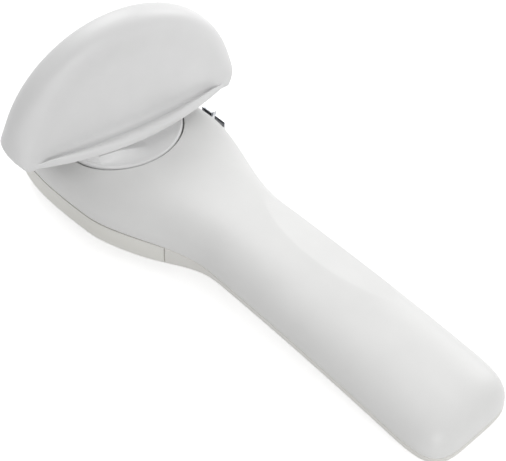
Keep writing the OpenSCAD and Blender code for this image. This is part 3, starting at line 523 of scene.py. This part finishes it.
dressed("push_bar", acetal)
chrome = chrome_plate("chrome_plated_stamping")
left, right, x, y = JAW_MID - JAW_GAP / 2, JAW_MID + JAW_GAP / 2, *JAW_PIN
moving_tip = [(left, JAW_REACH), (JAW_LEFT + 2.2, JAW_REACH), (JAW_LEFT, JAW_REACH - 1.6)]
fixed_tip = [(JAW_RIGHT, JAW_REACH - 1.9), (right + 1.2, JAW_REACH), (right, JAW_REACH)]
moving_jaw = worked(
    solid("moving_jaw_plate", prism([
        (JAW_LEFT, y + 5.5), (x - 2, y), (BAR_X - BAR_HALF, y + 1.2), (BAR_X - BAR_HALF, y - 1.5),
        (x + 1, y - 1.5), (x + 2, y), (left, y + 5)] + moving_tip, JAW_Z, JAW_Z + JAW_T)),
    [rod(x, y, JAW_BOSS, JAW_Z, JAW_Z + JAW_T),
     prism([(JAW_LEFT, JAW_ROOT), (left, JAW_ROOT)] + moving_tip, JAW_Z, JAW_Z + JAW_T + JAW_LIFT)],
    [rod(x, y, JAW_PIN_R + RUN_GAP, 0, 30)])
fixed_jaw = worked(
    solid("fixed_jaw_plate", prism([
        (right, y + 5.5), (HOLD_X, y + 4), (HOLD_X, y - 4), (HOLD_X + 3, y - 4), (JAW_RIGHT, y + 4)]
        + fixed_tip, JAW_Z, JAW_Z + JAW_T)),
    [prism([(right, JAW_ROOT), (JAW_RIGHT, JAW_ROOT)] + fixed_tip, JAW_Z, JAW_Z + JAW_T + JAW_LIFT)],
    [rod(HOLD_X + 1.5, y + d, PEG_R + PRESS_GAP, 0, 30) for d in PEG_YS])
for jaw, body, node in ((moving_jaw, "pincer", "moving_jaw"), (fixed_jaw, "housing", "fixed_jaw")):
    tumbled(jaw, 0.2)
    jaw.data.materials.append(chrome)
    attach(jaw, body)
    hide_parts(node)
dressed("jaw_pin", bright_steel)

# Upper shell: head, handle sides and top in one moulding, crowned in section, with a shallow finger scoop on
# the far flank and a round recess for the key. White ABS, with bosses inside for the screws from below.
CROWN_HEAD, CROWN_NECK, CROWN_TAIL, UPPER_POWER = 11.4, 11.8, 10.8, 2.7
RECESS_Z, CEIL_Z, CEIL_X, CEIL_RISE = 22.8, 20.8, 24.0, 0.8
DISC_R, DISC_GAP, TROUGH_IN, TROUGH_H, HUB_R, SPRING_TOP = 20.0, 0.55, 0.6, 0.9, 6.9, 16.46
SCOOP_R, SCOOP_X, SCOOP_RISE, SCOOP_TILT, SCOOP_EDGE, SCOOP_WALL = 240.0, 98.0, 5.8, math.radians(22), 0.2, 1.4


def crown(x):
    """Height of the upper shell over the parting line, from head to neck to tail."""
    tail = np.clip((x - NECK_X) / (TAIL_REACH - NECK_X), 0, 1)
    return CROWN_HEAD + (CROWN_NECK - CROWN_HEAD) * ease(x / NECK_X) + (CROWN_TAIL - CROWN_NECK) * tail


def scoop(x, y):
    """Height of the scoop: a large cylinder across the handle, tilted down towards the far flank."""
    sag = SCOOP_R - np.sqrt(SCOOP_R ** 2 - np.clip(x - SCOOP_X, -200, 200) ** 2)
    return parting(SCOOP_X) + SCOOP_RISE + sag / math.cos(SCOOP_TILT) - (y - TAIL_HALF) * math.tan(SCOOP_TILT)


def soft_min(a, b, k):
    """The lower of two heights, with a parabola of width k where they cross."""
    t = np.clip(0.5 + 0.5 * (b - a) / k, 0, 1)
    return b + (a - b) * t - k * t * (1 - t)


def upper_rows(loop, angle, wall):
    """Rows of the upper shell's dome, upwards from the parting line, cut by the scoop; the inner dome keeps
    under the floor of the key's recess."""
    x, y, h = raised(loop, angle, UPPER_POWER)
    z = parting(x) + SEAM / 2 + (crown(x) - wall) * h
    if wall:
        ceiling = CEIL_Z + np.maximum(x - CEIL_X, 0) * CEIL_RISE
        z = np.minimum(np.minimum(z, ceiling), scoop(x, y) - SCOOP_WALL)
        z = np.maximum(z, parting(x) + SEAM / 2)
    else:
        z = soft_min(z, scoop(x, y), SCOOP_EDGE)
    return closed_top(np.stack([x, y, z], -1), SIDE)


rim = LOOP + RIM_ROUND * INWARD
rim = np.column_stack([rim, parting(rim[:, 0]) + SEAM / 2])[None]
outer = upper_rows(LOOP, np.radians(np.linspace(1.2, 90, 80)), 0)
inner = upper_rows(LOOP + WALL * INWARD, np.radians(np.linspace(0, 90, 26)), WALL)


def top_z(x):
    """Height of the upper shell over its middle line."""
    ahead, behind = (SPINE_A - x) / (SPINE_A + HEAD_REACH), (x - SPINE_B) / (TAIL_REACH - SPINE_B)
    past = np.maximum(np.maximum(ahead, behind), 0)
    return parting(x) + crown(x) * (1 - past ** UPPER_POWER) ** (1 / UPPER_POWER)


SCREW_BOSS, RECESS_R = SCREW_R + 1.9, DISC_R + DISC_GAP
TROUGH_R, TROUGH_Z = DISC_R - TROUGH_IN, RECESS_Z - TROUGH_H
upper_shell = worked(
    solid("upper_shell_skin", np.concatenate([inner[::-1], rim, outer])),
    [rod(x, 0, SCREW_BOSS, parting(x) + SEAM, min(top_z(x - SCREW_BOSS), top_z(x + SCREW_BOSS)) - 0.8)
     for x in SCREW_XS]
    + [rod(GEAR_GAP, 0, 4, GEAR_TOP + 0.2, CEIL_Z + 1), rod(*PIVOT, BOSS, SPRING_TOP, CEIL_Z + 0.4),
       rod(*JAW_PIN, JAW_BOSS, JAW_Z + JAW_T + 0.2, CEIL_Z + 0.2)],
    [turned([(RECESS_R, RECESS_Z), (RECESS_R, RECESS_Z + 20)], around=240),
     turned([(TROUGH_R, TROUGH_Z), (RECESS_R, TROUGH_Z), (RECESS_R, RECESS_Z + 1), (TROUGH_R, RECESS_Z + 1),
             (TROUGH_R, TROUGH_Z)], around=240),
     turned([(HUB_R + RUN_GAP, CEIL_Z - 1), (HUB_R + RUN_GAP, CEIL_Z + 9)])]
    + [rod(x, 0, SCREW_R + PRESS_GAP, parting(x) - 1, parting(x) + 6.5) for x in SCREW_XS]
    + [rod(*PIVOT, PIVOT_R + PRESS_GAP, SPRING_TOP - 1, SPRING_TOP + 2.2),
       rod(*JAW_PIN, JAW_PIN_R + PRESS_GAP, JAW_Z, JAW_Z + JAW_T + 2.4),
       block((JAW_LEFT - 0.6, JAW_PIN[1] - 3, PART_Z - 1), (JAW_RIGHT + 0.6, 47, JAW_Z + JAW_T + 0.3))])
shell_abs = moulded_abs("satin_abs_shell", "#ECECEB", "#E8E8E7")
upper_shell.data.materials.append(shell_abs)
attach(upper_shell, "housing")
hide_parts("upper_shell")

# Shell screws: four alike pan heads with a cross recess, driven from below through the cover into the upper
# shell's bosses. Steel, zinc plated.


def screw(x, seat):
    """Profile of one screw, from the middle of its head to its tip, turned about its place."""
    low, tip = seat - SCREW_HEAD_H, parting(x) + 6
    profile = [(0, low), (SCREW_HEAD_R - 0.6, low), (SCREW_HEAD_R, low + 0.7), (SCREW_HEAD_R, seat),
               (SCREW_R, seat), (SCREW_R, tip - 0.8), (SCREW_R - 0.7, tip), (0, tip)]
    return turned(eased(profile, 0.25, ring=False), x)


zinc = turned_metal("zinc_plated_steel", "#C9CCD0", 0.32, 0.0, 0.6)
screws = worked(
    solid("shell_screw_set", *[screw(x, seat) for x, seat in zip(SCREW_XS, seats)]),
    removed=[block((x - a, -b, seat - 2.8), (x + a, b, seat - SCREW_HEAD_H + 0.9))
             for x, seat in zip(SCREW_XS, seats) for a, b in ((1.5, 0.3), (0.3, 1.5))])
screws.data.materials.append(zinc)
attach(screws, "housing")
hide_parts("shell_screws")

# Key foot and washer: a round foot that turns in the recess on an acetal washer, with a pedestal, a hub on
# the shaft's hexagon and a tongue that holds the wing. White ABS in one moulding, like the shells.
KEY_ANGLE, HUB_Z, DISC_Z, CROWN_Z, LIP_Z = math.radians(77.5), 16.1, 23.1, 25.2, 28.3
WING_HALF, LIP_MID, LIP_END = 40.3, 13.8, 5.9
PEDESTAL_IN, RAMP_X, RAMP_RUN, RAMP_EDGE = 2.7, -10.0, 14.0, 0.55
LIP_BOW = (LIP_MID - LIP_END) / WING_HALF ** 2
TONGUE_HALF, TONGUE_T, TONGUE_H = 16.0, 4.29, 14.0


def swung(grid):
    """A grid turned about the key's axis by the angle at which the key is left."""
    c, s = math.cos(KEY_ANGLE), math.sin(KEY_ANGLE)
    return grid @ np.array([(c, s, 0), (-s, c, 0), (0, 0, 1)])


def pedestal():
    """Rows of the pedestal: the lip's bowed outline drawn in, and cut to the foot's circle with a soft corner.
    On one hand of each side the foot's top rises to the lip in a square of the way left to the rim."""
    angle = np.linspace(0, 2 * np.pi, 288, endpoint=False)
    across, far = np.abs(np.sin(angle)), DISC_R - RAMP_EDGE

    def bowed(reach):
        """Radius of a parabola across the wing that reaches so far out in the middle."""
        return 2 * reach / (across + np.sqrt(across ** 2 + 4 * LIP_BOW * reach * np.cos(angle) ** 2))

    plan = soft_min(bowed(LIP_MID - PEDESTAL_IN), DISC_R - 2, 2.0)
    lip = np.minimum(bowed(LIP_MID), far - 0.1)
    hand = -lip * np.cos(angle) * np.sign(np.sin(angle))
    share = (1 - ease((hand - RAMP_X) / RAMP_RUN)) * ease((across - 0.2) / 0.35)
    out = plan + (far - plan) * np.linspace(1, 0, 24)[:, None]
    left = 1 - np.clip((out - lip) / (far - lip), 0, 1)
    low, top = CROWN_Z + 0.05, LIP_Z - SEAM / 2
    height = low + (top - 0.05 - low) * share * left ** 2
    radius = np.concatenate([out[:1], out, plan[None]])
    height = np.concatenate([0 * out[:1] + low - 1, height, 0 * out[:1] + top])
    return swung(np.stack([radius * np.cos(angle), radius * np.sin(angle), height], -1))


sixths = np.radians(np.arange(0, 360, 60))
hexagon = np.stack([np.cos(sixths), np.sin(sixths)], -1) * (SHAFT_R + PRESS_GAP)
tongue = block((-TONGUE_HALF, -TONGUE_T, LIP_Z - 1), (TONGUE_HALF, TONGUE_T, LIP_Z + TONGUE_H))
foot = worked(
    solid("key_foot", turned(eased([
        (0, HUB_Z), (HUB_R, HUB_Z), (HUB_R, DISC_Z), (DISC_R, DISC_Z), (DISC_R, CROWN_Z - 0.4),
        (DISC_R - 0.5, CROWN_Z + 0.1), (0, CROWN_Z + 0.3)], 0.35, ring=False), around=240)),
    [pedestal(), swung(tongue)],
    [swung(prism(hexagon, HUB_Z - 1, LIP_Z - 2.5))])
key_abs = moulded_abs("satin_abs_key", "#ECECEC", "#E8E8E8")
foot.data.materials.append(key_abs)
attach(foot, "key")
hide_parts("key_disc")
dressed("key_washer", acetal)

# Key wing: the half-round grip, a hollow moulding open below, with faces dished inside a rounded rim and a
# lip that flares out over the foot and ends in a bead. White ABS, pushed over the foot's tongue and bonded.
WING_H, WING_WALL, RIM_T, RIM_R, RIM_POWER, END_R, END_H = 41.1, 1.8, 5.4, 6.4, 2.6, 2.0, 12.0
BASE_MID, BASE_END, DISH, DISH_IN, DISH_OUT = 8.7, 7.5, 1.1, 0.68, 0.92
LIP_ROUND, LIP_TOP, BEAD, BEAD_SHARE, DIP, LIP_TUCK, TUCK_H = 0.6, 4.5, 2.2, 0.6, 0.8, 3.0, 5.0
HOLLOW, HOLLOW_H, BELLY, BELLY_FROM, BELLY_RUN = 2.4, 14.0, 1.2, 0.3, 0.6
SWELL_FROM, SWELL_RUN, BEAD_RUN, TUCK_POWER = 0.5, 0.45, 3.0, 1.6


def wing_rows(heights, columns, wall):
    """Closed rings of the wing at heights over its lip. The half thickness falls evenly from the base to the
    rim, is dished inside the rim and hollowed by a square of the height low down, and has the lip added below
    in half a cosine wave, with its edge rolled up to a bead by half a sine wave; a superellipse rounds it off
    at the rim, tightly at the lip's blunt ends, which are drawn in a little."""
    a, b = WING_HALF - wall, WING_H - wall
    v = heights[:, None]
    turn = np.linspace(0, 2 * np.pi, columns, endpoint=False)
    u = -a * np.sqrt(np.clip(1 - (v / b) ** 2, 0, 1)) * np.cos(turn)
    q = np.clip(np.hypot(u / a, v / b), 0, 1)
    rise = np.clip(v / (b * np.sqrt(np.clip(1 - (u / a) ** 2, 1e-6, 1))), 0, 1)
    base = BASE_MID - (BASE_MID - BASE_END) * (u / WING_HALF) ** 2
    face = RIM_T + (base - RIM_T) * (1 - rise) - DISH * (1 - ease((q - DISH_IN) / (DISH_OUT - DISH_IN)))
    belly = BELLY * (1 - ease((rise - BELLY_FROM) / BELLY_RUN))
    swell = belly - HOLLOW * np.clip(1 - v / HOLLOW_H, 0, 1) ** 2
    face = face + swell * (1 - ease((np.abs(u / a) - SWELL_FROM) / SWELL_RUN))
    lip = np.maximum(LIP_MID - LIP_BOW * u ** 2 - face, 0) * (wall == 0)
    s = np.clip((v - LIP_ROUND) / (LIP_TOP - LIP_ROUND), 0, 1)
    near, far = np.minimum(s / BEAD_SHARE, 1), np.maximum(s - BEAD_SHARE, 0) / (1 - BEAD_SHARE)
    roll = BEAD * np.sin(np.pi * near) + DIP * near + (LIP_TOP - LIP_ROUND - DIP) * far ** 2
    roll = (roll - (LIP_TOP - LIP_ROUND) * s) * ease(lip / BEAD_RUN)
    full = face - wall + lip * (1 + np.cos(np.pi * s)) / 2
    round_r = END_R + (RIM_R - END_R) * np.clip(v / END_H, 0, 1)
    edge = np.clip(1 - (1 - q) * a / np.maximum(round_r - wall, 0.4), 0, 1)
    thick = full * (1 - edge ** RIM_POWER) ** (1 / RIM_POWER)
    curl = LIP_ROUND * (1 - np.sqrt(1 - np.clip(1 - v / LIP_ROUND, 0, 1) ** 2)) * (wall == 0)
    thick = np.maximum(thick - curl, 0)
    pull = 1 - (LIP_TUCK * np.clip(1 - v / TUCK_H, 0, 1) ** TUCK_POWER + curl) / WING_HALF
    side = -np.sign(np.sin(turn)) * (np.abs(np.sin(turn)) > 1e-6)
    return swung(np.stack([u * pull, side * thick, LIP_Z + v + roll], -1))


def quarter(steps):
    """Angles of a quarter turn, in even steps."""
    return np.radians(np.linspace(0, 90, steps))


outer = wing_rows(np.concatenate([
    LIP_ROUND * (1 - np.cos(quarter(8))), np.linspace(0.7, 4.5, 39), np.linspace(4.75, 13, 30),
    np.linspace(13.5, 33, 40), 33 + (WING_H - 33) * np.sin(quarter(36)[1:])]), 256, 0)
inner = wing_rows(np.concatenate([
    np.linspace(0, 13, 18), np.linspace(14, 31, 14),
    31 + (WING_H - WING_WALL - 31) * np.sin(quarter(16)[1:])]), 256, WING_WALL)
wing = solid("key_wing_grip", np.concatenate([inner[::-1], outer]), sharp=50)
wing.data.materials.append(key_abs)
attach(wing, "key")
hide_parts("key_wing")

# Floor, lamps and camera: a white table in a white room, with a soft box high beyond the nose, a lower panel
# beyond the tail and one on the far side. The floor is white to the eye by its own glow, keeps the part's soft
# shadow and throws back a greyer light.
TABLE_HALF, LAMP_SIZE, LAMP_AIM = 2.0, 0.7, (0, 0, 0.02)


def white_room(tree, lit, seen):
    """One shader for light that falls on the part and another for what is seen directly, in gloss or
    through."""
    path = add(tree, "ShaderNodeLightPath")
    eye = add(tree, "ShaderNodeMath", {0: path.outputs["Is Camera Ray"], 1: path.outputs["Is Glossy Ray"]},
              operation="MAXIMUM")
    eye = add(tree, "ShaderNodeMath", {0: eye.outputs[0], 1: path.outputs["Is Transmission Ray"]},
              operation="MAXIMUM")
    return add(tree, "ShaderNodeMixShader", {0: eye.outputs[0], 1: lit, 2: seen})


corners = np.array([(-1, -1, 0), (1, -1, 0), (1, 1, 0), (-1, 1, 0)]) * TABLE_HALF
table = bpy.data.meshes.new("table")
table.from_pydata(corners.tolist(), [], [(0, 1, 2, 3)])
floor = bpy.data.objects.new("table", table)
bpy.context.scene.collection.objects.link(floor)
paper, tree = bare_material("white_table")
matt = add(tree, "ShaderNodeBsdfDiffuse", {"Color": linear("#EFEFEF")})
glow = add(tree, "ShaderNodeEmission", {"Color": (1, 1, 1, 1), "Strength": 0.6})
both = add(tree, "ShaderNodeAddShader", {0: matt.outputs[0], 1: glow.outputs[0]})
grey = add(tree, "ShaderNodeBsdfDiffuse", {"Color": linear("#D6D6D6")})
room = white_room(tree, grey.outputs[0], both.outputs[0])
add(tree, "ShaderNodeOutputMaterial", {"Surface": room.outputs[0]})
table.materials.append(paper)

world = bpy.data.worlds.new("white_room")
bpy.context.scene.world = world
world.use_nodes = True
tree = world.node_tree
tree.nodes.clear()
fill = add(tree, "ShaderNodeBackground", {"Color": (1, 1, 1, 1), "Strength": 0.455})
plain = add(tree, "ShaderNodeBackground", {"Color": (1, 1, 1, 1), "Strength": 1.0})
room = white_room(tree, fill.outputs[0], plain.outputs[0])
add(tree, "ShaderNodeOutputWorld", {"Surface": room.outputs[0]})


def aimed(obj, place, target):
    """Puts a lamp at a place, facing a target."""
    obj.location = place
    back = np.array(place) - np.array(target)
    obj.rotation_euler = (math.acos(back[2] / np.linalg.norm(back)), 0, math.atan2(back[0], -back[1]))
    bpy.context.scene.collection.objects.link(obj)


for name, energy, place in (("soft_box", 4.0, (-0.643, 0.371, 0.742)),
                            ("front_panel", 3.3, (0.862, -0.402, 0.444)),
                            ("far_panel", 3.0, (0.0, 0.927, 0.493))):
    lamp = bpy.data.lights.new(name, "AREA")
    lamp.shape, lamp.size, lamp.energy = "DISK", LAMP_SIZE, energy
    aimed(bpy.data.objects.new(name, lamp), place, LAMP_AIM)

AZIMUTH, ELEVATION, ROLL = (math.radians(a) for a in (42.77, 47.54, 1.875))
DISTANCE, TARGET = 0.66576, np.array((-0.002079, 0.002065, 0.0171))
back = np.array((math.sin(AZIMUTH) * math.cos(ELEVATION), -math.cos(AZIMUTH) * math.cos(ELEVATION),
                 math.sin(ELEVATION)))
right = np.array((math.cos(AZIMUTH), math.sin(AZIMUTH), 0))
up = np.cross(back, right)
right, up = (right * math.cos(ROLL) + up * math.sin(ROLL), up * math.cos(ROLL) - right * math.sin(ROLL))
lens = bpy.data.cameras.new("camera")
lens.lens, lens.sensor_width, lens.clip_start = 155.01, 36.0, 0.01
camera = bpy.data.objects.new("camera", lens)
pose = np.eye(4)
pose[:3, :3] = np.stack([right, up, back], 1)
pose[:3, 3] = TARGET + DISTANCE * back
camera.matrix_world = pose.T.tolist()
bpy.context.scene.collection.objects.link(camera)
bpy.context.scene.camera = camera
bpy.context.scene.view_settings.view_transform = "Standard"
